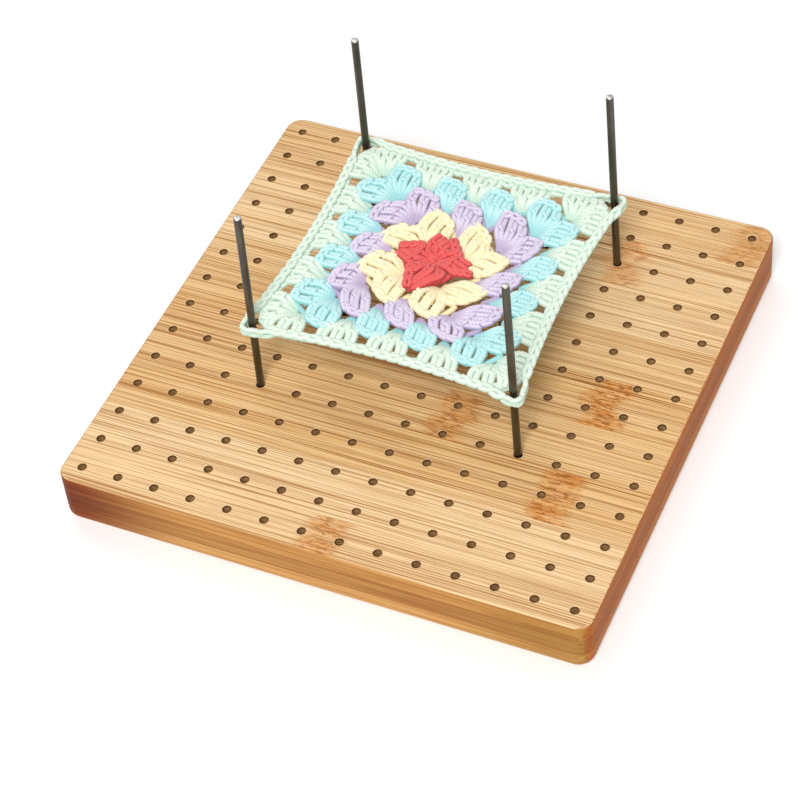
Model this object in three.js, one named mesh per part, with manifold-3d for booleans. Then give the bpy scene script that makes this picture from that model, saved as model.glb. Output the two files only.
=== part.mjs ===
// A laminated bamboo blocking board with four steel pegs and a crocheted granny square stretched
// between them. Millimetres, +Z up. The origin is on the underside, in the middle of the board.

import * as THREE from "three";
import { mergeVertices } from "three/addons/utils/BufferGeometryUtils.js";
import Module from "manifold-3d";

const wasm = await Module();
wasm.setup();

// ---- driving dimensions ----

const boardSide = 200; // the board is square
const pitch = 14.25; // from hole to hole
const holesPerSide = 14;
const plyHeight = 7; // three equal plies make the board
const cornerRadius = 6; // upright corners of the board
const topEasing = 1; // small round along the top edge
const bottomRound = 2.5; // larger round along the bottom edge

const stripWidth = 23; // one flat bamboo strip
const topFirstStrip = 16; // the strips at the edges were sawn narrower
const coreFirstStrip = 9; // the plies' seams don't lie above each other
const bottomFirstStrip = 20;

const pegRadius = 1.4;
const pegAbove = 82; // steel that stands above the board
const pegChamfer = 0.3;
const pegLean = THREE.MathUtils.degToRad(1.1); // the stretched square pulls each peg inwards
const holeFlat = 1.65; // from a hole's middle to its wall
const fitGap = 0.3; // between pieces that must stay free of each other

const squareMiddle = new THREE.Vector2(0, pitch); // the square is one row behind the middle
const pegSpan = 7 * pitch; // from peg to peg
const clothHeight = 30.5; // from the board up to the middle of the yarn
const clothThickness = 4;
const clothSide = 106.5; // from corner to corner of the edging
const cornerTurn = 4.25; // radius of the edging's corners
const bow = 4; // how far a side's middle is drawn in
const edgingWidth = 4;
const loopRadius = 2.1; // the space that a peg stands in
const loopSlack = 1; // how much longer that space is towards the middle, along X and along Y

// ---- sizes that follow ----

const boardHeight = 3 * plyHeight;
const holeDepth = 2 * plyHeight; // drilled through the top and the core, down to the bottom ply
const holeFloor = boardHeight - holeDepth;
const firstHole = -pitch * (holesPerSide - 1) / 2;
const clothLevel = boardHeight + clothHeight;

// Each round of the square: its name, its colour, and half the side that it reaches.
const rounds = [
  { name: "round_1_coral", colour: 0xe2505a, reach: 15.5 },
  { name: "round_2_cream", colour: 0xf7ebb4, reach: 25 },
  { name: "round_3_lavender", colour: 0xd9c8e6, reach: 32.5 },
  { name: "round_4_aqua", colour: 0xaee8e8, reach: 43 },
  { name: "round_5_mint", colour: 0xd9f5e4, reach: clothSide / 2 - edgingWidth },
  { name: "edging_mint", colour: 0xd5f3e0, reach: clothSide / 2 },
];

// ---- solids ----

function toSolid(geometry, matrix = new THREE.Matrix4()) {
  const bare = geometry.clone().applyMatrix4(matrix);
  bare.deleteAttribute("normal");
  bare.deleteAttribute("uv");
  const merged = mergeVertices(bare, 1e-4);
  const vertProperties = new Float32Array(merged.attributes.position.array);
  const triVerts = new Uint32Array(merged.index.array);
  return new wasm.Manifold(new wasm.Mesh({ numProp: 3, vertProperties, triVerts }));
}

function toGeometry(solid) {
  const mesh = solid.getMesh();
  const geometry = new THREE.BufferGeometry();
  geometry.setAttribute("position", new THREE.BufferAttribute(new Float32Array(mesh.vertProperties), 3));
  geometry.setIndex(new THREE.BufferAttribute(new Uint32Array(mesh.triVerts), 1));
  geometry.computeVertexNormals();
  return geometry;
}

function box(x0, y0, z0, x1, y1, z1) {
  const geometry = new THREE.BoxGeometry(x1 - x0, y1 - y0, z1 - z0);
  return toSolid(geometry, new THREE.Matrix4().makeTranslation((x0 + x1) / 2, (y0 + y1) / 2, (z0 + z1) / 2));
}

function raised(shape, z0, z1, curveSegments) {
  const geometry = new THREE.ExtrudeGeometry(shape, { depth: z1 - z0, bevelEnabled: false, curveSegments });
  return toSolid(geometry, new THREE.Matrix4().makeTranslation(0, 0, z0));
}

// ---- board ----

function roundedSquare(half, radius) {
  const shape = new THREE.Shape();
  shape.moveTo(half, radius - half);
  for (let quarter = 0; quarter < 4; quarter++) {
    const turn = quarter * Math.PI / 2;
    const middle = new THREE.Vector2(half - radius, half - radius).rotateAround(new THREE.Vector2(), turn);
    shape.absarc(middle.x, middle.y, radius, turn, turn + Math.PI / 2);
  }
  shape.closePath();
  return shape;
}

// The board's outline raised between two heights, with both its edges rounded by the same radius.
function roundedSlab(z0, z1, edge, steps) {
  const geometry = new THREE.ExtrudeGeometry(roundedSquare(boardSide / 2 - edge, cornerRadius - edge), {
    depth: z1 - z0 - 2 * edge, bevelEnabled: true, bevelSize: edge, bevelThickness: edge,
    bevelSegments: steps, curveSegments: 5,
  });
  return toSolid(geometry, new THREE.Matrix4().makeTranslation(0, 0, z0 + edge));
}

// Two slabs, one too tall and one too deep, share only the board with its two different edges.
function boardBlank() {
  const roundBelow = roundedSlab(0, 2 * boardHeight, bottomRound, 3);
  const easedAbove = roundedSlab(-boardHeight, boardHeight, topEasing, 2);
  return roundBelow.intersect(easedAbove);
}

function holeRow(y) {
  const sides = 8;
  const overrun = 1;
  const radius = holeFlat / Math.cos(Math.PI / sides);
  const cutter = new THREE.CylinderGeometry(radius, radius, holeDepth + overrun, sides).rotateX(Math.PI / 2);
  const place = new THREE.Matrix4();
  let row = null;
  for (let column = 0; column < holesPerSide; column++) {
    place.makeTranslation(firstHole + column * pitch, y, holeFloor + (holeDepth + overrun) / 2);
    const hole = toSolid(cutter, place);
    row = row ? row.add(hole) : hole;
  }
  return row;
}

function stripEdges(firstStrip) {
  const edges = [-boardSide / 2];
  for (let y = firstStrip - boardSide / 2; y < boardSide / 2; y += stripWidth) edges.push(y);
  edges.push(boardSide / 2);
  return edges;
}

// One ply: strips side by side along X, each cut from the blank and drilled where hole rows cross it.
function addPly(group, name, level, firstStrip, colour, blank, rows) {
  const edges = stripEdges(firstStrip);
  for (let i = 0; i + 1 < edges.length; i++) {
    const room = box(-boardSide, edges[i], level, boardSide, edges[i + 1], level + plyHeight);
    let strip = blank.intersect(room);
    for (const { y, solid } of rows) {
      if (y > edges[i] - 2 * holeFlat && y < edges[i + 1] + 2 * holeFlat) strip = strip.subtract(solid);
    }
    const material = new THREE.MeshStandardMaterial({ color: colour, roughness: 0.6, metalness: 0 });
    const mesh = new THREE.Mesh(toGeometry(strip), material);
    mesh.name = `${name}_strip_${i + 1}`;
    group.add(mesh);
  }
}

function makeBoard() {
  const board = new THREE.Group();
  const blank = boardBlank();
  const rows = [];
  for (let row = 0; row < holesPerSide; row++) {
    const y = firstHole + row * pitch;
    rows.push({ y, solid: holeRow(y) });
  }
  addPly(board, "bottom", 0, bottomFirstStrip, 0xc69a63, blank, []);
  addPly(board, "core", plyHeight, coreFirstStrip, 0xa9743f, blank, rows);
  addPly(board, "top", 2 * plyHeight, topFirstStrip, 0xe0bc88, blank, rows);
  return board;
}

// ---- pegs ----

const corners = [
  { name: "front_left", x: -1, y: -1 },
  { name: "front_right", x: 1, y: -1 },
  { name: "rear_right", x: 1, y: 1 },
  { name: "rear_left", x: -1, y: 1 },
];

// A cut length of rod with both ends chamfered, its axis along +Z and its foot at z = 0.
function pegGeometry() {
  const length = (pegAbove + holeDepth - fitGap) / Math.cos(pegLean);
  const profile = [
    new THREE.Vector2(0, 0),
    new THREE.Vector2(pegRadius - pegChamfer, 0),
    new THREE.Vector2(pegRadius, pegChamfer),
    new THREE.Vector2(pegRadius, length - pegChamfer),
    new THREE.Vector2(pegRadius - pegChamfer, length),
    new THREE.Vector2(0, length),
  ];
  return new THREE.LatheGeometry(profile, 12).rotateX(Math.PI / 2);
}

// A peg leans towards the middle of the square about the middle of its hole.
function makePeg({ name, x, y }) {
  const leaning = new THREE.Group();
  leaning.position.set(
    squareMiddle.x + x * pegSpan / 2, squareMiddle.y + y * pegSpan / 2, boardHeight - holeDepth / 2);
  const inwards = new THREE.Vector3(-x, -y, 0).normalize();
  leaning.quaternion.setFromAxisAngle(new THREE.Vector3(0, 0, 1).cross(inwards), pegLean);
  const material = new THREE.MeshStandardMaterial({ color: 0x6d6a63, roughness: 0.35, metalness: 0.9 });
  const peg = new THREE.Mesh(pegGeometry(), material);
  peg.name = `peg_${name}`;
  peg.position.z = -(holeDepth / 2 - fitGap) / Math.cos(pegLean);
  leaning.add(peg);
  return leaning;
}

// Where a peg's axis passes a height, in the square's own plane.
function pegPlace({ x, y }, height) {
  const inwards = (height - boardHeight + holeDepth / 2) * Math.tan(pegLean) / Math.SQRT2;
  return new THREE.Vector2(
    squareMiddle.x + x * (pegSpan / 2 - inwards), squareMiddle.y + y * (pegSpan / 2 - inwards));
}

// ---- granny square ----

// A square outline with rounded corners whose sides are drawn in towards its middle.
function drawnInSquare(half, radius, drawn, path = new THREE.Shape()) {
  const at = (x, y, turn) => new THREE.Vector2(x, y).rotateAround(new THREE.Vector2(), turn).add(squareMiddle);
  const straight = half - radius;
  const start = at(half, -straight, 0);
  path.moveTo(start.x, start.y);
  for (let quarter = 0; quarter < 4; quarter++) {
    const turn = quarter * Math.PI / 2;
    const pulled = at(half - 2 * drawn, 0, turn);
    const end = at(half, straight, turn);
    path.quadraticCurveTo(pulled.x, pulled.y, end.x, end.y);
    const middle = at(straight, straight, turn);
    path.absarc(middle.x, middle.y, radius, turn, turn + Math.PI / 2);
  }
  path.closePath();
  return path;
}

function outlineOf(reach) {
  const share = reach / (clothSide / 2);
  return { half: reach, radius: cornerTurn * Math.max(share, 0.6), drawn: bow * share ** 2 };
}

// The upright slot that a peg stands in, longer towards the middle of the square.
function pegSpace(corner) {
  const sides = 12;
  const height = 4 * clothThickness;
  const cutter = new THREE.CylinderGeometry(loopRadius, loopRadius, height, sides).rotateX(Math.PI / 2);
  const place = pegPlace(corner, clothLevel);
  const outer = toSolid(cutter, new THREE.Matrix4().makeTranslation(place.x, place.y, clothLevel));
  const inner = toSolid(cutter, new THREE.Matrix4().makeTranslation(
    place.x - corner.x * loopSlack, place.y - corner.y * loopSlack, clothLevel));
  return outer.add(inner);
}

function makeRound(index) {
  const { name, colour, reach } = rounds[index];
  const outer = outlineOf(reach);
  const shape = drawnInSquare(outer.half, outer.radius, outer.drawn);
  if (index > 0) {
    const inner = outlineOf(rounds[index - 1].reach + fitGap);
    shape.holes.push(drawnInSquare(inner.half, inner.radius, inner.drawn, new THREE.Path()));
  }
  let solid = raised(shape, clothLevel - clothThickness / 2, clothLevel + clothThickness / 2, 4);
  for (const corner of corners) solid = solid.subtract(pegSpace(corner));
  const material = new THREE.MeshStandardMaterial({ color: colour, roughness: 0.95, metalness: 0 });
  const mesh = new THREE.Mesh(toGeometry(solid), material);
  mesh.name = name;
  return mesh;
}

// ---- assembly ----

const group = new THREE.Group();
group.add(makeBoard());
for (const corner of corners) group.add(makePeg(corner));
for (let index = 0; index < rounds.length; index++) group.add(makeRound(index));

export default group;
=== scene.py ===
"""A bamboo blocking board, its four steel pegs and the granny square stretched between them.

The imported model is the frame. Sizes are in millimetres until a mesh is made, then in metres.
"""

import math
import random

import bmesh
import bpy
import numpy as np
from mathutils import Matrix, Vector


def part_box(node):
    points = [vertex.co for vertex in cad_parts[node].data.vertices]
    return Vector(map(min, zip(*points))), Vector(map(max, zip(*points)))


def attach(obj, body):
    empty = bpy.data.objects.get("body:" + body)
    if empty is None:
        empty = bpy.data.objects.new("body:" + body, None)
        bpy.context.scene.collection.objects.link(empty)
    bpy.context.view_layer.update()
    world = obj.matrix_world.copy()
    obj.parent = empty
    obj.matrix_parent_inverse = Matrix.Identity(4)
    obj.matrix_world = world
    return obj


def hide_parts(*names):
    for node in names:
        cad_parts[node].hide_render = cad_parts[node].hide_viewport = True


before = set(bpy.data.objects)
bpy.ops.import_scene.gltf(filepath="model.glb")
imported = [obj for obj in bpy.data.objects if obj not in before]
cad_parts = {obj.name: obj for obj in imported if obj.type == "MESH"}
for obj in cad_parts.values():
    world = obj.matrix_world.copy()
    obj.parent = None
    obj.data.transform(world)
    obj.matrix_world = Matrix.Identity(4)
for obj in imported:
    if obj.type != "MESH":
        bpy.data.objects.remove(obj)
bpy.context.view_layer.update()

MM = 0.001
UP = np.array([0.0, 0.0, 1.0])

# ---- board, in millimetres ----

PITCH = 14.25
HOLES_PER_SIDE = 14
HOLE_RADIUS = 1.62
HOLE_DEPTH = 14.0
HOLE_RIM = 0.25  # the drilled edge is broken by this radius
PLY_HEIGHT = 7.0
CORNER_RADIUS = 6.0
CORNER_STEPS = 10
TOP_EASING = 1.0  # the radius of the top edge
BOTTOM_ROUND = 2.5  # the radius of the bottom edge

# The top strips, from the front: how pale each is, and where along X it has a growth ring, if any.
TOP_TONES = (0.85, 1.0, 0.3, 0.4, 0.3, 0.5, 0.9, 0.8, 0.55)
TOP_RINGS = {1: 4, 3: 69, 4: 23, 5: 69, 8: 51, 9: 94}
RING_STRENGTHS = {1: 0.7, 3: 1.0, 4: 0.75, 5: 1.0, 8: 0.6, 9: 0.6}
NO_RING = 1000.0

# Each ply's bamboo: pale and dark on its face, then pale and dark on its sides.
BAMBOO_COLOURS = {
    "bamboo_face": ((0.84, 0.60, 0.335), (0.72, 0.43, 0.165), (0.55, 0.275, 0.08), (0.38, 0.155, 0.035)),
    "bamboo_core": ((0.64, 0.37, 0.15), (0.47, 0.24, 0.08), (0.48, 0.235, 0.065), (0.33, 0.13, 0.03)),
    "bamboo_back": ((0.71, 0.46, 0.21), (0.58, 0.33, 0.13), (0.62, 0.34, 0.115), (0.47, 0.21, 0.055)),
}

# ---- pegs ----

PEG_RADIUS = 1.4
PEG_CHAMFER = 0.3
PEG_LEAN = math.radians(1.1)
PEG_SPAN = 7 * PITCH
PEG_CORNERS = {"front_left": (-1, -1), "front_right": (1, -1), "rear_right": (1, 1), "rear_left": (-1, 1)}

# ---- granny square ----

YARN_RADIUS = 1.05
CHAIN_RADIUS = 0.95
THICKEST_LEG = 1.2  # the largest radius of a post's leg
YARN_OVER_AT = 0.58  # how far up a post its yarn-over lies, as a share of its length
UNEVENNESS = 0.3  # how far a cluster's foot and top are moved at random
PLIES = 3
PLY_DEPTH = 0.09  # as a share of the yarn's radius
PLY_TURN = 3.6  # length of one turn of the plies
RING_STEP = 0.36  # between a strand's rings of vertices
STRAND_SIDES = 12

SQUARE_HALF = 53.25
BOW = 4.0  # how far a side's middle is drawn in
SPIRAL = math.radians(8.5)  # how far the first rounds are turned against the edging
SPIRAL_FADE = (18.0, 38.0)  # how far from the middle that turn begins to fade, and ends
OFF_CENTRE = (-1.0, -1.2)  # how far the first rounds lie beside the square's middle
RIPPLE = 0.35

# One entry for each round, from the inside out. The first round's clusters have a table of their own below.
ROUND_NAMES = ("round_1_coral", "round_2_cream", "round_3_lavender", "round_4_aqua", "round_5_mint")
ROUND_TOPS = (16.5, 24.1, 33.3, 44.0, 50.2)  # how far out its clusters reach
FRONT_REACHES = (0.0, 0.0, 1.8, 0.3, 0.0)  # how much further they reach on the front side
CLUSTER_STEPS = (0.0, 16.4, 17.3, 18.4, 19.2)  # from cluster to cluster along a side
CORNER_SPREAD = (0.0, 0.0, 0.3, 0.3, 0.6)  # how much further apart the ones at the corners are
SIDE_SPACES = (0.0, 0.0, 1.8, 3.4, 3.5)  # the foot of one along a side, beyond the round before the last
SPACINGS = (4.7, 4.1, 4.0, 4.1, 5.3)  # from post to post
SLANTS = (0.0, 2.6, 1.3, 1.2, 0.0)  # how much higher a cluster is on its left
FANS = (0.0, 0.5, 0.58, 0.62, 0.8)  # the share of its length at which a cluster has its full width
BULGES = (0.0, 1.6, 1.2, 1.2, 0.8)  # how far the two at a corner lean into each other half-way up
FOOT_DEPTH = 6.4  # how far below the last round's reach the feet at the corners are
RING_REACH = 7.6  # how far out the second round's feet are
FRONT = 3  # the number of the front side, counter-clockwise from the right-hand one

# The first round's four arms, counter-clockwise from the right-hand one, each by four places on it: the two
# ends of its clockwise side, from the tip inwards, and those of its other side, from its foot to the tip.
# A place is a distance ahead from the star's middle and one to the left of that.
STAR_ARMS = (
    ((17.3, -1.8), (10.1, -4.1), (7.3, 2.3), (14.6, 1.3)),
    ((11.0, -1.7), (3.3, -8.9), (4.8, 3.5), (11.3, 2.4)),
    ((14.0, 0.6), (5.5, -3.9), (5.4, 5.3), (13.9, 2.2)),
    ((17.6, -0.4), (6.6, -5.2), (6.6, 7.5), (17.3, 1.2)),
)
STAR_MIDDLE = np.array([-0.9, 2.3])
STAR_RISE = 1.0  # how far the first round lies above the others

EDGING_STITCHES = 96
EDGING_OVERHANG = 0.7  # how far the edging's loops reach past the stretched square
EDGING_RADIUS = 3.2  # of the chain's middle round a peg
EDGING_INSET = 1.0  # how much further in the chain lies along the sides
HEADS_INSET = 1.9  # how far inside the edging the heads of the last round are
HEADS_ROUNDING = 7  # how fast the corners get rounder for a row inside the edging
HEADS_LIFT = -0.7
LOOP_DROP = 0.6  # how much lower the loops round the pegs lie

# The strand from cluster to cluster: how far inside a space it dips under it, and its heights at its ends,
# on its way and under the space.
LINK_INSET = 2.5
LINK_HEIGHTS = (-0.7, -1.7, -2.1)

# Each round's yarn: its own colour, and the colour its painted shade takes in the creases.
YARN_COLOURS = (
    ((0.82, 0.12, 0.11), (0.45, 0.02, 0.03)),
    ((0.92, 0.86, 0.60), (0.86, 0.74, 0.40)),
    ((0.74, 0.67, 0.80), (0.40, 0.30, 0.50)),
    ((0.56, 0.83, 0.82), (0.26, 0.60, 0.62)),
    ((0.76, 0.85, 0.74), (0.50, 0.68, 0.55)),
)


def low_high(node):
    """A CAD node's lowest and highest corners, in millimetres."""
    low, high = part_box(node)
    return np.array(low) / MM, np.array(high) / MM


BOARD_TOP = float(low_high("top_strip_1")[1][2])
SIDE = float(low_high("top_strip_2")[1][0] - low_high("top_strip_2")[0][0])
SQUARE_BOX = low_high("edging_mint")
SQUARE_MIDDLE = (SQUARE_BOX[0] + SQUARE_BOX[1]) / 2


# ---- meshes and objects ----


def add_piece(name, mesh, body, nodes, materials):
    """Puts a mesh that is in millimetres into the scene, in metres, as the piece for these CAD nodes."""
    mesh.transform(Matrix.Scale(MM, 4))
    piece = bpy.data.objects.new(name, mesh)
    bpy.context.scene.collection.objects.link(piece)
    for material in materials:
        mesh.materials.append(material)
    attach(piece, body)
    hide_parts(*nodes)
    return piece


def add_attribute(mesh, name, values):
    attribute = mesh.attributes.new(name, "FLOAT", "POINT")
    attribute.data.foreach_set("value", np.broadcast_to(values, len(mesh.vertices)).astype(np.float32))


def shade(mesh, degrees):
    mesh.polygons.foreach_set("use_smooth", [True] * len(mesh.polygons))
    mesh.set_sharp_from_angle(angle=math.radians(degrees))


def turned(profile, sides):
    """A closed solid of revolution about Z from (radius, height) points that start and end off the axis."""
    mesh = bmesh.new()
    rings = []
    for radius, height in profile:
        angles = [2 * math.pi * i / sides for i in range(sides)]
        rings.append([mesh.verts.new((radius * math.cos(a), radius * math.sin(a), height)) for a in angles])
    for lower, upper in zip(rings, rings[1:]):
        for i in range(sides):
            j = (i + 1) % sides
            mesh.faces.new((lower[i], lower[j], upper[j], upper[i]))
    mesh.faces.new(rings[0][::-1])
    mesh.faces.new(rings[-1])
    return mesh


# ---- materials ----


class Shader:
    """A material's node tree, built a node at a time from numbers, colours and other nodes' outputs."""

    def __init__(self, name):
        self.material = bpy.data.materials.new(name)
        self.material.use_nodes = True
        self.tree = self.material.node_tree
        self.surface = self.tree.nodes["Principled BSDF"]

    def put(self, socket, value):
        if isinstance(value, bpy.types.NodeSocket):
            self.tree.links.new(value, socket)
        elif socket.type == "RGBA" and len(value) == 3:
            socket.default_value = (*value, 1)
        else:
            socket.default_value = value

    def node(self, kind, settings=None, **inputs):
        made = self.tree.nodes.new("ShaderNode" + kind)
        for key, value in (settings or {}).items():
            setattr(made, key, value)
        for key, value in inputs.items():
            place = int(key[1:]) if key[0] == "i" and key[1:].isdigit() else key.replace("_", " ")
            self.put(made.inputs[place], value)
        return made

    def math(self, operation, *values, clamp=False):
        made = self.tree.nodes.new("ShaderNodeMath")
        made.operation, made.use_clamp = operation, clamp
        for socket, value in zip(made.inputs, values):
            self.put(socket, value)
        return made.outputs[0]

    def mix(self, share, first, second, blend="MIX"):
        made = self.tree.nodes.new("ShaderNodeMix")
        made.data_type, made.blend_type = "RGBA", blend
        for place, value in ((0, share), (6, first), (7, second)):
            self.put(made.inputs[place], value)
        return made.outputs[2]

    def range(self, value, low, high, to_low=0.0, to_high=1.0):
        settings = {"interpolation_type": "SMOOTHSTEP"}
        made = self.node("MapRange", settings, i0=value, i1=low, i2=high, i3=to_low, i4=to_high)
        return made.outputs[0]

    def attribute(self, name):
        return self.node("Attribute", {"attribute_name": name}).outputs["Fac"]

    def place(self, scale=(1, 1, 1), offset=None):
        """The surface point, in metres times this scale, moved by an offset."""
        point = self.node("TexCoord").outputs["Object"]
        scaled = self.node("VectorMath", {"operation": "MULTIPLY"}, i0=point, i1=scale).outputs[0]
        if offset is None:
            return scaled
        return self.node("VectorMath", {"operation": "ADD"}, i0=scaled, i1=offset).outputs[0]

    def noise(self, place, detail=2.0, roughness=0.5):
        made = self.node("TexNoise", None, Vector=place, Scale=1.0, Detail=detail, Roughness=roughness)
        return made.outputs["Fac"]

    def bump(self, height, strength, distance):
        made = self.node("Bump", None, Height=height, Strength=strength, Distance=distance)
        self.put(self.surface.inputs["Normal"], made.outputs[0])

    def set(self, **inputs):
        for key, value in inputs.items():
            self.put(self.surface.inputs[key.replace("_", " ")], value)
        return self.material


def bamboo(name, pale, dark, side_pale, side_dark):
    """Sanded bamboo: fine dark fibres along X, growth rings, and darker, more reddish sides, with painted
    shade on the front.
    """
    s = Shader(name)
    seed = s.attribute("seed")
    shift = s.node("CombineXYZ", None, X=seed, Y=seed, Z=seed).outputs[0]
    point = s.node("SeparateXYZ", None, Vector=s.place())
    x, z = point.outputs["X"], point.outputs["Z"]

    # The grain: long dark fibres a millimetre or so apart, finer ones between them, and broad bands.
    fibres = s.noise(s.place((9, 2700, 2700), shift), 1.0, 0.5)
    fine = s.noise(s.place((26, 3900, 3900), shift), 2.0, 0.6)
    bands = s.noise(s.place((6, 170, 170), shift), 2.0)
    thin = s.noise(s.place((6, 2200, 2200), shift), 1.0)
    line = s.range(fibres, 0.53, 0.61)
    line = s.math("MAXIMUM", line, s.math("MULTIPLY", s.range(fine, 0.52, 0.70), 0.65))
    line = s.math("MULTIPLY", line, s.range(bands, 0.25, 0.60, 0.65, 1.0))
    line = s.math("MAXIMUM", line, s.range(thin, 0.60, 0.64))
    tone = s.math("ADD", s.attribute("tone"), s.range(bands, 0.3, 0.7, 0.14, -0.14), clamp=True)
    base = s.mix(tone, dark, pale)
    streak = s.mix(1.0, base, (0.44, 0.25, 0.095), "MULTIPLY")
    colour = s.mix(s.math("MULTIPLY", line, 0.85), base, streak)
    light = s.range(s.noise(s.place((17, 2300, 2300), shift), 1.0), 0.56, 0.68, 0.0, 0.4)
    colour = s.mix(light, colour, s.mix(1.0, pale, (1.12, 1.14, 1.2), "MULTIPLY"))

    # A growth ring: a warm patch across the strip, with short fibres, some dark and some pale.
    wander = s.range(s.noise(s.place((0, 130, 130), shift), 1.0), 0.25, 0.75, -0.004, 0.004)
    away = s.math("ABSOLUTE", s.math("SUBTRACT", s.math("ADD", x, wander), s.attribute("ring_x")))
    strength = s.attribute("ring_strength")
    near = s.math("MULTIPLY", s.range(away, 0.0100, 0.003), strength)
    far = s.math("MULTIPLY", s.range(away, 0.030, 0.006), strength)
    blotch = s.range(s.noise(s.place((140, 260, 260), shift), 2.0), 0.35, 0.65, 0.55, 1.0)
    colour = s.mix(s.math("MULTIPLY", s.math("MULTIPLY", near, blotch), 0.85), colour, (0.60, 0.215, 0.035))
    dashes = s.noise(s.place((310, 1250, 1250), shift), 2.0, 0.6)
    dark_dashes = s.math("MULTIPLY", s.range(dashes, 0.52, 0.60), near)
    pale_dashes = s.math("MULTIPLY", s.range(dashes, 0.44, 0.37), near)
    long_lines = s.math("MULTIPLY", s.range(fibres, 0.54, 0.62), s.math("MULTIPLY", far, 0.7))
    dark_marks = s.math("MAXIMUM", s.math("MULTIPLY", dark_dashes, 0.85), long_lines)
    colour = s.mix(s.math("MULTIPLY", pale_dashes, 0.5), colour, (0.80, 0.50, 0.22))
    colour = s.mix(dark_marks, colour, (0.29, 0.095, 0.02))

    # The sides: darker than the face, the ends more reddish, the front darker and browner at its left as a
    # painted dark reflection and duller at its right as painted shade, with a dark line at each glue seam.
    normal = s.node("SeparateXYZ", None, Vector=s.node("TexCoord").outputs["Normal"])
    up, right = (s.math("ABSOLUTE", normal.outputs[axis]) for axis in "ZX")
    along_y = s.noise(s.place((900, 22, 900)), 3.0, 0.6)
    along_x = s.noise(s.place((16, 800, 800)), 3.0, 0.6)
    speckle = s.noise(s.place((900, 900, 900)), 2.0, 0.7)
    end_grain = s.math("ADD", s.math("MULTIPLY", along_y, 0.65), s.math("MULTIPLY", speckle, 0.35))
    on_end = s.range(right, 0.55, 0.85)
    streaks = s.range(s.node("Mix", None, i0=on_end, i2=along_x, i3=end_grain).outputs[0], 0.34, 0.64)
    side_colour = s.mix(streaks, side_dark, side_pale)
    side_colour = s.mix(on_end, side_colour, s.mix(1.0, side_colour, (0.86, 0.52, 0.20), "MULTIPLY"))
    # Painted dark reflection: the front is darkened towards its left.
    painted_dark_reflection = s.mix(1.0, side_colour, (0.38, 0.14, 0.05), "MULTIPLY")
    front = s.range(normal.outputs["Y"], -0.4, -0.8)
    side_colour = s.mix(s.math("MULTIPLY", s.range(x, -0.045, -0.098), front), side_colour, painted_dark_reflection)
    # Painted shade: the front is dulled towards its right.
    painted_right_shade = s.mix(1.0, side_colour, (0.78, 0.76, 0.60), "MULTIPLY")
    side_colour = s.mix(s.math("MULTIPLY", s.range(x, 0.045, 0.085), front), side_colour, painted_right_shade)
    seam = s.range(s.math("PINGPONG", z, PLY_HEIGHT / 2 * MM), 0.00045, 0.0, 0.0, 0.6)
    side_colour = s.mix(seam, side_colour, s.mix(1.0, side_colour, (0.50, 0.38, 0.30), "MULTIPLY"))
    final = s.mix(s.range(up, 0.90, 0.50), colour, side_colour)
    s.bump(s.math("ADD", s.math("MULTIPLY", line, -1.0), fine), 0.30, 0.00008)
    return s.set(Base_Color=final, Roughness=s.range(fine, 0.3, 0.7, 0.46, 0.60), Specular_IOR_Level=0.13)


def drilled_bamboo():
    """The wall and floor of a drilled hole: rough, darker than the face partly as painted shade, with a band
    of painted shade under the rim.
    """
    s = Shader("bamboo_drilled")
    fibres = s.noise(s.place((400, 1600, 1600)), 3.0, 0.6)
    # Partly the drilled wood's own brown and partly painted shade for the depth of the hole.
    colour = s.mix(s.range(fibres, 0.3, 0.7), (0.21, 0.10, 0.03), (0.48, 0.26, 0.095))
    height = s.node("SeparateXYZ", None, Vector=s.place()).outputs["Z"]
    # Painted shade: the top of the wall, just under the rim, is darker.
    painted_rim_shade = s.range(height, (BOARD_TOP - 1.4) * MM, (BOARD_TOP - 0.7) * MM)
    colour = s.mix(painted_rim_shade, colour, s.mix(1.0, colour, (0.38, 0.30, 0.22), "MULTIPLY"))
    s.bump(fibres, 0.6, 0.0002)
    return s.set(Base_Color=colour, Roughness=0.85)


def hole_rim():
    """The broken edge of a drilled hole: a painted highlight, pale all round, with fibre marks."""
    s = Shader("bamboo_rim")
    fibres = s.noise(s.place((300, 1800, 1800)), 2.0, 0.6)
    # Painted highlight: the rim is given a pale colour.
    colour = s.mix(s.range(fibres, 0.35, 0.65), (0.58, 0.35, 0.15), (0.80, 0.58, 0.32))
    return s.set(Base_Color=colour, Roughness=0.6)


def rod_steel():
    """Drawn steel rod: dark, with faint lines along it and slight stains."""
    s = Shader("rod_steel")
    lines = s.noise(s.place((5200, 5200, 30)), 2.0, 0.6)
    stains = s.noise(s.place((260, 260, 60)), 3.0, 0.6)
    colour = s.mix(s.range(stains, 0.35, 0.7), (0.095, 0.088, 0.072), (0.15, 0.14, 0.118))
    colour = s.mix(s.range(lines, 0.35, 0.65, 0.0, 0.4), colour, (0.07, 0.063, 0.05))
    s.bump(lines, 0.25, 0.00003)
    rough = s.range(stains, 0.3, 0.7, 0.30, 0.44)
    return s.set(Base_Color=colour, Roughness=rough, Metallic=1.0)


def cut_steel():
    """The sawn and faced end of a rod: bright, with fine parallel marks."""
    s = Shader("cut_steel")
    marks = s.noise(s.place((900, 6500, 900)), 2.0, 0.7)
    colour = s.mix(s.range(marks, 0.3, 0.7), (0.52, 0.51, 0.48), (0.78, 0.77, 0.74))
    s.bump(marks, 0.4, 0.00005)
    return s.set(Base_Color=colour, Roughness=0.32, Metallic=1.0)


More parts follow.
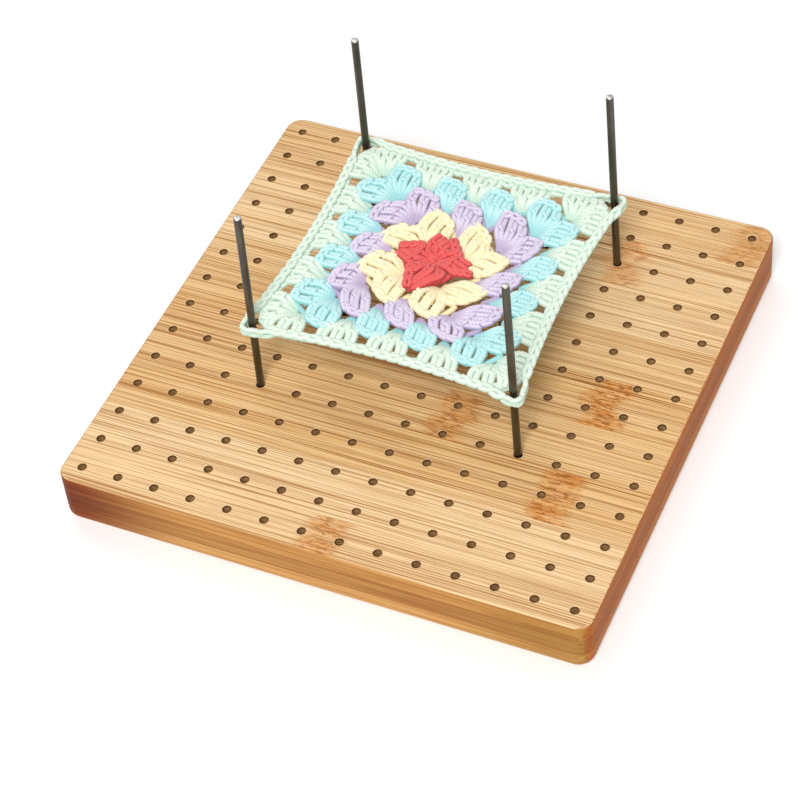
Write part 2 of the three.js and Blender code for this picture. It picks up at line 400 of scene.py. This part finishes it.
def yarn(name, colour, shadow):
    """Soft plied yarn with a fine fibrous surface, and painted shade between its plies, in its creases and
    low down.
    """
    s = Shader(name)
    fibres = s.noise(s.place((2400, 2400, 2400)), 3.0, 0.7)
    uneven = s.noise(s.place((240, 240, 240)), 2.0)
    # Painted shade between the plies.
    between = s.range(s.attribute("ply"), 0.0, 0.8, 0.3, 0.0)
    base = s.mix(s.range(uneven, 0.35, 0.7, 0.0, 0.15), colour, shadow)
    base = s.mix(between, base, shadow)
    # Painted shade: the lower parts of the square and the faces that turn away from up are mixed towards the
    # shadow colour.
    height = s.node("SeparateXYZ", None, Vector=s.place()).outputs["Z"]
    painted_low_shade = s.range(height, (SQUARE_MIDDLE[2] + 1.0) * MM, (SQUARE_MIDDLE[2] - 1.0) * MM, 0.0, 0.7)
    facing = s.node("SeparateXYZ", None, Vector=s.node("TexCoord").outputs["Normal"]).outputs["Z"]
    painted_crease_shade = s.range(s.math("ABSOLUTE", facing), 0.82, 0.35, 0.0, 0.85)
    base = s.mix(s.math("MAXIMUM", painted_low_shade, painted_crease_shade), base, shadow)
    base = s.mix(s.range(fibres, 0.55, 0.75, 0.0, 0.12), base, (0.98, 0.98, 0.97))
    relief = s.math("ADD", s.math("MULTIPLY", s.attribute("ply"), 0.7), s.math("MULTIPLY", fibres, 0.5))
    s.bump(relief, 0.6, 0.00025)
    return s.set(Base_Color=base, Roughness=0.92, Sheen_Weight=0.15, Sheen_Roughness=0.6)


# ---- board ----


def outline(inset, z):
    """The board's outline at a height, this far in from its widest."""
    half = SIDE / 2 - CORNER_RADIUS
    radius = CORNER_RADIUS - inset
    points = []
    for x, y, quarter in ((1, 1, 0), (-1, 1, 1), (-1, -1, 2), (1, -1, 3)):
        for i in range(CORNER_STEPS + 1):
            angle = (quarter + i / CORNER_STEPS) * math.pi / 2
            points.append((x * half + radius * math.cos(angle), y * half + radius * math.sin(angle), z))
    return points


def board_blank():
    """The whole board as one solid, its bottom edge rounded and its top edge eased."""
    mesh = bmesh.new()
    levels = []
    for i in range(7):
        angle = i / 6 * math.pi / 2
        levels.append((BOTTOM_ROUND * (1 - math.sin(angle)), BOTTOM_ROUND * (1 - math.cos(angle))))
    for i in range(5):
        angle = i / 4 * math.pi / 2
        levels.append((TOP_EASING * (1 - math.cos(angle)), BOARD_TOP - TOP_EASING * (1 - math.sin(angle))))
    rings = [[mesh.verts.new(p) for p in outline(inset, z)] for inset, z in levels]
    count = len(rings[0])
    for lower, upper in zip(rings, rings[1:]):
        for i in range(count):
            j = (i + 1) % count
            mesh.faces.new((lower[i], lower[j], upper[j], upper[i]))
    mesh.faces.new(rings[0][::-1])
    mesh.faces.new(rings[-1])
    return mesh


def keep_between(mesh, axis, low, high):
    """Saws a solid off at two planes and closes the cuts."""
    for level, sign in ((low, -1), (high, 1)):
        normal, point = Vector(), Vector()
        normal[axis], point[axis] = sign, level
        geometry = mesh.verts[:] + mesh.edges[:] + mesh.faces[:]
        cut = bmesh.ops.bisect_plane(mesh, geom=geometry, dist=1e-5, plane_co=point, plane_no=normal,
                                     clear_outer=True)["geom_cut"]
        bmesh.ops.holes_fill(mesh, edges=[e for e in cut if isinstance(e, bmesh.types.BMEdge)])


def drill_row(y):
    """Fourteen drill shapes in a row, each flared at the board's face by the rim's radius."""
    profile = [(HOLE_RADIUS, BOARD_TOP - HOLE_DEPTH)]
    for i in range(6):
        a = math.radians(17 * i)
        radius = HOLE_RADIUS + HOLE_RIM * (1 - math.cos(a))
        profile.append((radius, BOARD_TOP - HOLE_RIM * (1 - math.sin(a))))
    profile.append((HOLE_RADIUS + HOLE_RIM, BOARD_TOP + 1))
    row = bpy.data.meshes.new("drill_row")
    joined = bmesh.new()
    for column in range(HOLES_PER_SIDE):
        tool = turned(profile, 32)
        bmesh.ops.translate(tool, verts=tool.verts, vec=(PITCH * (column - (HOLES_PER_SIDE - 1) / 2), y, 0))
        tool.to_mesh(row)
        joined.from_mesh(row)
        tool.free()
    joined.to_mesh(row)
    joined.free()
    return row


def drilled(mesh, rows):
    """The strip's mesh with these rows of holes cut from it."""
    strip = bpy.data.objects.new("strip_blank", mesh)
    bpy.context.scene.collection.objects.link(strip)
    tools = []
    for row in rows:
        tool = bpy.data.objects.new("drill", row)
        bpy.context.scene.collection.objects.link(tool)
        cut = strip.modifiers.new("cut", "BOOLEAN")
        cut.operation, cut.solver, cut.object = "DIFFERENCE", "EXACT", tool
        tools.append(tool)
    depsgraph = bpy.context.evaluated_depsgraph_get()
    result = bpy.data.meshes.new_from_object(strip.evaluated_get(depsgraph))
    for made in (strip, *tools):
        bpy.data.objects.remove(made)
    return result


def mark_holes(mesh):
    """Gives the walls of the holes the second material, and their broken edges the third.

    The area tells a wall's narrow faces from the strip's own long sides.
    """
    for face in mesh.polygons:
        x, y, _ = face.center
        away = math.hypot((x / PITCH) % 1 - 0.5, (y / PITCH) % 1 - 0.5) * PITCH
        if face.area < 15 and away < HOLE_RADIUS + 0.02 and abs(face.normal.z) < 0.5:
            face.material_index = 1
        elif away < HOLE_RADIUS + HOLE_RIM and 0.02 < face.normal.z < 0.995:
            face.material_index = 2


def add_strip(node, materials, rows, tone, ring_x, ring_strength):
    """One strip of the board, sawn from the blank at its own seams and drilled."""
    low, high = low_high(node)
    mesh = board_blank()
    keep_between(mesh, 1, low[1], high[1])
    keep_between(mesh, 2, low[2], high[2])
    bmesh.ops.recalc_face_normals(mesh, faces=mesh.faces)
    made = bpy.data.meshes.new(node + "_finished")
    mesh.to_mesh(made)
    mesh.free()
    reach = HOLE_RADIUS + HOLE_RIM
    crossing = [row for y, row in rows.items() if low[1] - reach < y < high[1] + reach]
    if crossing:
        made = drilled(made, crossing)
        mark_holes(made)
    shade(made, 40)
    add_attribute(made, "seed", random.uniform(0, 50))
    add_attribute(made, "tone", tone)
    add_attribute(made, "ring_x", ring_x * MM)
    add_attribute(made, "ring_strength", ring_strength)
    made.name = node + "_finished"
    add_piece(node + "_finished", made, "board", [node], materials)


def add_board():
    """The three plies of glued strips, the upper two drilled."""
    inside = drilled_bamboo()
    face, core, back = (bamboo(name, *colours) for name, colours in BAMBOO_COLOURS.items())
    rows = {}
    for row in range(HOLES_PER_SIDE):
        y = PITCH * (row - (HOLES_PER_SIDE - 1) / 2)
        rows[y] = drill_row(y)
    plies = (("top", "bamboo_face", [face, inside, hole_rim()], rows),
             ("core", "bamboo_core", [core, inside], rows),
             ("bottom", "bamboo_back", [back], {}))
    for ply, material_slot, materials, holes in plies:
        nodes = [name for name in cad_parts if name.startswith(ply + "_strip_")]
        for number in range(1, len(nodes) + 1):
            tone = TOP_TONES[number - 1] if ply == "top" else random.uniform(0.3, 0.8)
            ring_x, strength = random.uniform(-95, 95), 0.6
            if ply == "top":
                ring_x, strength = TOP_RINGS.get(number, NO_RING), RING_STRENGTHS.get(number, 0)
            add_strip(f"{ply}_strip_{number}", materials, holes, tone, ring_x, strength)


# ---- pegs ----


def peg_profile(length):
    """A rod's (radius, height) points, with both its ends rounded off."""
    profile = []
    for i in range(4):
        angle = i / 3 * math.pi / 2
        radius = PEG_RADIUS - PEG_CHAMFER * (1 - math.sin(angle))
        profile.append((radius, PEG_CHAMFER * (1 - math.cos(angle))))
    return profile + [(radius, length - height) for radius, height in reversed(profile)]


def peg_axis(x, y):
    """The point about which a peg leans, in the middle of its hole, and the direction of its axis."""
    middle = Vector((x * PEG_SPAN / 2, SQUARE_MIDDLE[1] + y * PEG_SPAN / 2, BOARD_TOP - HOLE_DEPTH / 2))
    inwards = Vector((-x, -y, 0)).normalized()
    return middle, (inwards * math.sin(PEG_LEAN) + Vector((0, 0, math.cos(PEG_LEAN)))).normalized()


def add_peg(corner, signs, materials):
    """A rod along its leaning axis, with the second material on its two ends."""
    node = "peg_" + corner
    low, high = low_high(node)
    middle, axis = peg_axis(*signs)
    foot = middle + axis * ((low[2] - middle.z) / axis.z)
    length = (high[2] - low[2]) / axis.z
    solid = turned(peg_profile(length), 48)
    mesh = bpy.data.meshes.new(node + "_finished")
    solid.to_mesh(mesh)
    solid.free()
    for face in mesh.polygons:
        if abs(face.normal.z) > 0.3:
            face.material_index = 1
    mesh.transform(Matrix.Translation(foot) @ axis.to_track_quat("Z", "Y").to_matrix().to_4x4())
    shade(mesh, 50)
    add_piece(node + "_finished", mesh, node, [node], materials)


# ---- granny square: yarn ----


def smooth_line(points, step):
    """A Catmull-Rom curve through the points, at even steps."""
    p = np.vstack([2 * points[0] - points[1], points, 2 * points[-1] - points[-2]])
    t = np.linspace(0, 1, 9)[:-1, None]
    parts = []
    for a, b, c, d in zip(p, p[1:], p[2:], p[3:]):
        parts.append(0.5 * (2 * b + (c - a) * t + (2 * a - 5 * b + 4 * c - d) * t ** 2
                            + (3 * b - a - 3 * c + d) * t ** 3))
    line = np.vstack([*parts, points[-1:]])
    along = np.concatenate([[0], np.cumsum(np.linalg.norm(np.diff(line, axis=0), axis=1))])
    even = np.linspace(0, along[-1], max(5, math.ceil(along[-1] / step) + 1))
    return np.stack([np.interp(even, along, line[:, k]) for k in range(3)], axis=1), even


def side_vectors(line):
    """Two vectors across the line at each of its points, carried along it without turning."""
    ahead = np.gradient(line, axis=0)
    ahead /= np.linalg.norm(ahead, axis=1)[:, None]
    side = np.cross(ahead[0], UP)
    if np.linalg.norm(side) < 0.2:
        side = np.cross(ahead[0], [1.0, 0.0, 0.0])
    sides = []
    for direction in ahead:
        side = side - direction * side.dot(direction)
        side = side / np.linalg.norm(side)
        sides.append(side)
    sides = np.array(sides)
    return sides, np.cross(ahead, sides)


class Skein:
    """Strands of plied yarn that press together into one piece."""

    def __init__(self, seed, rise=0.0):
        self.random, self.rise = random.Random(seed), rise
        self.vertices, self.faces, self.plies = [], [], []
        self.count = 0

    def strand(self, points, radius=YARN_RADIUS, foot=1.0):
        """Adds a strand through points of the flat square: two across it, and a height.

        foot is how thin it is pulled at its start, as a share of its radius.
        """
        line, along = smooth_line(hung(np.array(points, dtype=float)), RING_STEP)
        line[:, 2] += self.rise
        side, over = side_vectors(line)
        around = np.arange(STRAND_SIDES) * 2 * math.pi / STRAND_SIDES
        start = self.random.uniform(0, 2 * math.pi)
        ply = np.cos(PLIES * (around[None, :] - 2 * math.pi * along[:, None] / PLY_TURN + start))
        ends = np.ones(len(line))
        ends[[0, -1]], ends[[1, -2]] = 0.45, 0.85
        ends *= np.interp(along / along[-1], (0, 0.4), (foot, 1))
        reach = radius * (1 + PLY_DEPTH * ply) * ends[:, None]
        rings = (line[:, None, :] + reach[..., None] * (np.cos(around)[None, :, None] * side[:, None, :]
                                                       + np.sin(around)[None, :, None] * over[:, None, :]))
        self.vertices.append(rings.reshape(-1, 3))
        self.plies.append((0.5 + 0.5 * ply).ravel())
        self.add_faces(len(line))

    def add_faces(self, rings):
        """The quads between this many rings of vertices, and the two ends."""
        sides, base = STRAND_SIDES, self.count
        ring, side = np.meshgrid(np.arange(rings - 1), np.arange(sides), indexing="ij")
        near, far = ring * sides, (ring + 1) * sides
        beside = (side + 1) % sides
        quads = np.stack([near + side, near + beside, far + beside, far + side], axis=-1)
        self.faces += (quads.reshape(-1, 4) + base).tolist()
        self.faces.append([base + v for v in range(sides)][::-1])
        self.faces.append([base + (rings - 1) * sides + v for v in range(sides)])
        self.count += rings * sides

    def mesh(self, name):
        made = bpy.data.meshes.new(name)
        made.from_pydata(np.vstack(self.vertices).tolist(), [], self.faces)
        made.polygons.foreach_set("use_smooth", [True] * len(made.polygons))
        add_attribute(made, "ply", np.concatenate(self.plies))
        return made


def faded(away, fade):
    """1 up to the fade's start, falling smoothly to 0 at its end."""
    t = np.clip((away - fade[0]) / (fade[1] - fade[0]), 0, 1)
    return 1 - t ** 2 * (3 - 2 * t)


def hung(points):
    """Takes points of the flat square to where the square hangs, stretched between the pegs."""
    u, v, height = points.T
    square = np.maximum(np.maximum(np.abs(u), np.abs(v)), 1e-6)
    reach = square / SQUARE_HALF
    drawn_u = np.where(np.abs(u) >= np.abs(v), 1 - (v / square) ** 2, 0)
    drawn_v = np.where(np.abs(v) > np.abs(u), 1 - (u / square) ** 2, 0)
    pull = BOW / SQUARE_HALF * reach
    x, y = u * (1 - pull * drawn_u), v * (1 - pull * drawn_v)
    away = (u ** 4 + v ** 4) ** 0.25
    inside = faded(away, SPIRAL_FADE)
    turn = -SPIRAL * inside
    east = x * np.cos(turn) - y * np.sin(turn) + OFF_CENTRE[0] * inside
    north = x * np.sin(turn) + y * np.cos(turn) + OFF_CENTRE[1] * inside
    ripple = RIPPLE * np.sin(u / 11 + 1) * np.cos(v / 13) * np.sqrt(inside)
    z = SQUARE_MIDDLE[2] + ripple + height
    return np.stack([SQUARE_MIDDLE[0] + east, SQUARE_MIDDLE[1] + north, z], axis=1)


# ---- granny square: stitches ----


def across(direction):
    """The same direction, a quarter turn to the left."""
    return np.array([-direction[1], direction[0]])


def ramp(value, low, high):
    """0 up to low, rising smoothly to 1 at high."""
    t = min(max((value - low) / (high - low), 0), 1)
    return t * t * (3 - 2 * t)


class Patch:
    """Places in one cluster: how far ahead from its foot, how far to its left, and how high."""

    def __init__(self, base, top):
        self.base = base
        self.length = np.linalg.norm(top - base)
        self.ahead = (top - base) / self.length
        self.left = across(self.ahead)

    def flat(self, ahead, left):
        return self.base + self.ahead * ahead + self.left * left

    def at(self, ahead, left, height):
        return [*self.flat(ahead, left), height]


def add_post(skein, patch, way, spacing):
    """The standing part of a double crochet: two legs side by side, and the yarn-over across them.

    way is the post's middle as (ahead, left) points, from its foot to its head.
    """
    way = np.array(way, dtype=float)
    tilt = skein.random.uniform(-0.2, 0.2)
    steps = np.linspace(0, 1, 8)
    ahead = np.interp(steps, np.linspace(0, 1, len(way)), way[:, 0])
    left = np.interp(steps, np.linspace(0, 1, len(way)), way[:, 1])
    height = np.interp(steps, (0, 0.2, 0.5, 0.8, 1), (-2.4, -1.3, 0.4, 0.4, -0.5))
    for leg in (-1, 1):
        line = []
        for t, a, s, h in zip(steps, ahead, left, height):
            angle = tilt + 0.9 * (t - 0.5)
            spread = leg * spacing / 4 * (0.32 + 0.62 * ramp(t, 0.05, 0.45))
            line.append(patch.at(a, s + spread * math.cos(angle), h + 0.7 * spread * math.sin(angle)))
        skein.strand(line, min(0.275 * spacing, THICKEST_LEG), 0.7)
    over = [(-1.0, -1.45, -0.8), (-0.6, -1.1, 0.7), (0.0, 0.0, 1.4), (0.6, 1.1, 0.7), (1.0, 1.45, -0.8)]
    over_ahead, over_left = (np.interp(YARN_OVER_AT, steps, values) for values in (ahead, left))
    skein.strand([patch.at(over_ahead + a, over_left + s, h) for a, s, h in over], 0.8 * YARN_RADIUS)


def along_places(places):
    """A path through these places, by their numbers, which may be fractions."""
    numbers = np.arange(len(places))
    east, north = np.array(places).T
    return lambda number: np.array([np.interp(number, numbers, east), np.interp(number, numbers, north)])


def add_chain(skein, path, count, on_edge=None, width=1.0, lift=0.6):
    """Chain stitches along a path: each is a drop-shaped loop whose tip lies on the next one.

    on_edge says how far each is turned on its edge, from 0 to 1. A drop is one side of a loop: how far on
    along the path, how far to the left, and how high. Without on_edge, the last loop is closed off short.
    """
    last = count - 1
    for index in range(count):
        drop = [(-0.08, 0.2, -0.7), (0.22, 0.85, 0.1), (0.60, 1.0, 0.3), (0.93, 0.62, 0.4), (1.20, 0.0, 0.6)]
        if index == last and not on_edge:
            drop[2:] = [(0.52, 0.9, 0.3), (0.78, 0.45, 0.2), (0.88, 0.0, 0.0)]
        drop += [(t, -s, h) for t, s, h in reversed(drop[:-1])]
        roll = (on_edge[index] if on_edge else 0) * math.pi / 2
        flat, upright = math.cos(roll), math.sin(roll)
        line = []
        for t, s, h in drop:
            ahead = path(index + t + 0.1) - path(index + t - 0.1)
            left = across(ahead / np.linalg.norm(ahead))
            place = path(index + t) + left * (s * width * flat)
            line.append([*place, (lift + h) * flat + (s * width - LOOP_DROP) * upright])
        skein.strand(line, CHAIN_RADIUS)


def add_cluster(posts, chain, base, top, corner, number):
    """Three double crochets that fan out from one space, and the chain along their heads.

    corner says on which side a corner of the square is: 1 for the left, -1 for the right, 0 for neither.
    The last round has no chain here, because its heads lie in a row along the edging.
    """
    patch = Patch(base, top)
    spacing, slant, fan, bulge = (table[number - 1] for table in (SPACINGS, SLANTS, FANS, BULGES))
    outermost = number == len(ROUND_NAMES)
    for place in (-1, 1, 0):
        foot, head = (0.30 if outermost else 0.17) * spacing * place, spacing * place
        reach = patch.length - (0.2 if outermost else 2.0 + 0.8 * abs(place)) + slant * place
        way = []
        for t in np.linspace(0, 1, 7):
            left = foot + (head - foot) * ramp(t, 0, fan)
            left += bulge * corner * (1 + place * corner) / 2 * math.sin(math.pi * t)
            way.append((-0.8 + t * (reach + 0.8), left))
        add_post(posts, patch, way, spacing)
    crown = []
    for share, drop in ((1, 2.9), (0.36, 1.35), (-0.36, 1.35), (-1, 2.9)):
        crown.append(patch.flat(patch.length - drop + slant * share, 1.22 * spacing * share))
    if not outermost:
        add_chain(chain, along_places(crown), len(crown) - 1)
    return crown


def add_star_arm(posts, chain, arm):
    """A cluster of the first round, which the next round's stitches pull askew into a star's arm.

    Its chain runs down the clockwise side, from the tip to the notch between two arms.
    """
    patch = Patch(STAR_MIDDLE, STAR_MIDDLE + turn_to(arm, (1, 0)))
    first, last, side, end = np.array(STAR_ARMS[arm])
    row = [first + (last - first) * share for share in (0, 1 / 3, 2 / 3, 1)]
    longest = [(0.6, 0.5), 0.6 * side, side, (side + end) / 2, end]
    middle = [(0.7, -0.1), 0.3 * side + 0.2 * row[2], 0.5 * side + 0.35 * row[2] + (0.6, 0),
              0.27 * (first + end) + 0.45 * row[1]]
    shortest = [(0.6, -0.7), 0.4 * row[2], 0.7 * row[2] + (0, 0.2), 0.96 * row[2]]
    for way in (longest, middle, shortest):
        add_post(posts, patch, way, SPACINGS[0])
    crown = [patch.flat(*place) for place in row]
    add_chain(chain, along_places(crown), len(crown) - 1)
    return crown


def turn_to(side_number, point):
    """A point of the right-hand side moved to another side of the square."""
    x, y = point
    for _ in range(side_number):
        x, y = -y, x
    return np.array([x, y], dtype=float)


def inner_reach(number):
    """How far out a round's clusters have their feet, at the square's corners."""
    return (0, 0, RING_REACH, *(top - FOOT_DEPTH for top in ROUND_TOPS[1:]))[number]


def clusters_of(number):
    """Each cluster of a round after the first: its foot, its top, and on which side of it a corner is.

    They are listed counter-clockwise from the right-hand side.
    """
    top, step = ROUND_TOPS[number - 1], CLUSTER_STEPS[number - 1]
    inner = inner_reach(number)
    found = []
    for side in range(4):
        reach = top + (FRONT_REACHES[number - 1] if side == FRONT else 0)
        for i in range(number):
            v = (i - (number - 1) / 2) * step
            base, corner = (ROUND_TOPS[number - 3] + SIDE_SPACES[number - 1], v * 0.98), 0
            if i in (0, number - 1):
                corner = int(math.copysign(1, v))
                base = (inner + 0.9, corner * (inner - 0.6))
                v += corner * CORNER_SPREAD[number - 1]
            found.append((turn_to(side, base), turn_to(side, (reach, v)), corner))
    return found


def spaces_of(number):
    """The space after each cluster of a round, in which the next round has its feet."""
    feet = [base for base, _, _ in clusters_of(number + 1)]
    found = []
    for side in range(4):
        first = side * (number + 1)
        found += feet[first + 1:first + number]
        found.append((feet[first + number] + feet[(first + number + 1) % len(feet)]) / 2)
    return found


def shaken(skein, point):
    """The point, moved a little at random."""
    return point + np.array([skein.random.uniform(-UNEVENNESS, UNEVENNESS) for _ in range(2)])


def add_yarn(name, skein, node, material):
    return add_piece(name, skein.mesh(name), "granny_square", [node], [material])


def add_links(chain, crowns, spaces):
    """The strand from each cluster to the next, which dips under the space between them."""
    high, on_the_way, low = LINK_HEIGHTS
    for crown, following, space in zip(crowns, crowns[1:] + crowns[:1], spaces):
        start, end = crown[-1], following[0]
        under = space * (1 - LINK_INSET / np.linalg.norm(space))
        chain.strand([[*start, high], [*(0.6 * start + 0.4 * under), on_the_way], [*under, low],
                      [*(0.6 * end + 0.4 * under), on_the_way], [*end, high]])


def add_round(number, material):
    """One round as two pieces: its standing stitches, and the chain along their heads."""
    rise = STAR_RISE if number == 1 else 0
    posts, chain = Skein(number, rise), Skein(number + 10, rise)
    crowns = []
    if number == 1:
        for arm in range(4):
            crowns.append(add_star_arm(posts, chain, arm)[::-1])
        posts.strand([[*(STAR_MIDDLE + np.array([math.cos(a), math.sin(a)])), -1.2]
                      for a in np.linspace(0, 2 * math.pi, 13)])
    else:
        for base, top, corner in clusters_of(number):
            base, top = shaken(posts, base), shaken(posts, top)
            crowns.append(add_cluster(posts, chain, base, top, corner, number)[::-1])
    if number == len(ROUND_NAMES):
        add_chain(chain, edging_path(HEADS_INSET), EDGING_STITCHES, lift=HEADS_LIFT)
    else:
        add_links(chain, crowns, spaces_of(number))
    node = ROUND_NAMES[number - 1]
    stitches = add_yarn(node + "_stitches", posts, node, material)
    return stitches, add_yarn(node + "_chain", chain, node, material)


def edging_place(share, inside=0.0):
    """A place on the edging's chain, or inside it, at a share of its way round.

    With it comes how far the chain is turned on its edge there, from 0 to 1.
    """
    reach = SQUARE_HALF - CHAIN_RADIUS + EDGING_OVERHANG - inside
    radius = EDGING_RADIUS + HEADS_ROUNDING * inside
    straight = reach - radius
    quarter = 2 * straight + radius * math.pi / 2
    side, rest = divmod(share * 4 * quarter, quarter)
    if rest < 2 * straight:
        v = rest - straight
        turned_up = ramp(abs(v), straight - 9, straight - 5)
        point = (reach - (1 - turned_up) * EDGING_INSET, v)
    else:
        angle = (rest - 2 * straight) / radius
        turned_up = 1.0
        point = (straight + radius * math.cos(angle), straight + radius * math.sin(angle))
    return turn_to(int(side) % 4, point), turned_up


def edging_path(inside=0.0):
    """A path round the edging, or inside it, by the number of the stitch."""
    return lambda number: edging_place(number / EDGING_STITCHES, inside)[0]


def add_edging(material):
    """The last row: a chain along the outside, turned on its edge round the pegs."""
    skein = Skein(6)
    turned_up = [edging_place(i / EDGING_STITCHES)[1] for i in range(EDGING_STITCHES)]
    add_chain(skein, edging_path(), EDGING_STITCHES, turned_up, width=1.15)
    return add_yarn("edging_mint_crochet", skein, "edging_mint", material)


def add_square():
    """The edging and the five rounds, each round as its stitches and its chain."""
    materials = {}
    for node, (colour, shadow) in zip(ROUND_NAMES, YARN_COLOURS):
        materials[node] = yarn("yarn_" + node.split("_")[-1], colour, shadow)
    edging = add_edging(materials["round_5_mint"])
    for number, node in enumerate(ROUND_NAMES, 1):
        stitches, chain = add_round(number, materials[node])


# ---- camera, floor and light ----


def add_camera():
    """A long lens in front of the board, above it and to its right, turned a little on its axis."""
    target = Vector((0.0008, -0.0259, BOARD_TOP * MM))
    azimuth, elevation, roll = math.radians(28.16), math.radians(47.48), math.radians(-6.42)
    distance = 0.9185
    back = Vector((math.sin(azimuth) * math.cos(elevation), -math.cos(azimuth) * math.cos(elevation),
                   math.sin(elevation)))
    camera = bpy.data.objects.new("camera", bpy.data.cameras.new("camera"))
    camera.data.lens, camera.data.sensor_width = 116.1, 36
    camera.data.clip_start, camera.data.clip_end = 0.02, 50
    place = Matrix.Translation(target + back * distance)
    facing = back.to_track_quat("Z", "Y").to_matrix().to_4x4()
    camera.matrix_world = place @ facing @ Matrix.Rotation(roll, 4, "Z")
    bpy.context.scene.collection.objects.link(camera)
    bpy.context.scene.camera = camera


def add_floor():
    """A plain pale floor, a hair below the board."""
    mesh = bmesh.new()
    bmesh.ops.create_grid(mesh, x_segments=1, y_segments=1, size=8)
    bmesh.ops.translate(mesh, verts=mesh.verts, vec=(0, 0, -0.0002))
    data = bpy.data.meshes.new("floor")
    mesh.to_mesh(data)
    mesh.free()
    s = Shader("floor")
    data.materials.append(s.set(Base_Color=(0.94, 0.94, 0.94), Roughness=0.9))
    floor = bpy.data.objects.new("floor", data)
    bpy.context.scene.collection.objects.link(floor)


def add_light(name, place, size, watts):
    """A round white area light that faces the object."""
    light = bpy.data.objects.new(name, bpy.data.lights.new(name, "AREA"))
    light.data.shape, light.data.size, light.data.energy = "DISK", size, watts
    light.location = place
    light.rotation_euler = (Vector(place) - Vector((0, 0, 0.02))).to_track_quat("Z", "Y").to_euler()
    bpy.context.scene.collection.objects.link(light)


def add_studio():
    """The floor, an even white surrounding, a large soft light in front and a weak one behind."""
    add_floor()
    world = bpy.data.worlds.new("studio")
    world.use_nodes = True
    world.node_tree.nodes["Background"].inputs["Color"].default_value = (1, 1, 1, 1)
    world.node_tree.nodes["Background"].inputs["Strength"].default_value = 0.45
    bpy.context.scene.world = world
    add_light("key", (0.5, -1.9, 2.5), 1.3, 84)
    add_light("back", (-1.2, 1.4, 2.6), 1.8, 14)
    bpy.context.scene.view_settings.view_transform = "Standard"


random.seed(7)
add_camera()
add_board()
steel = [rod_steel(), cut_steel()]
for corner, signs in PEG_CORNERS.items():
    add_peg(corner, signs, steel)
add_square()
add_studio()
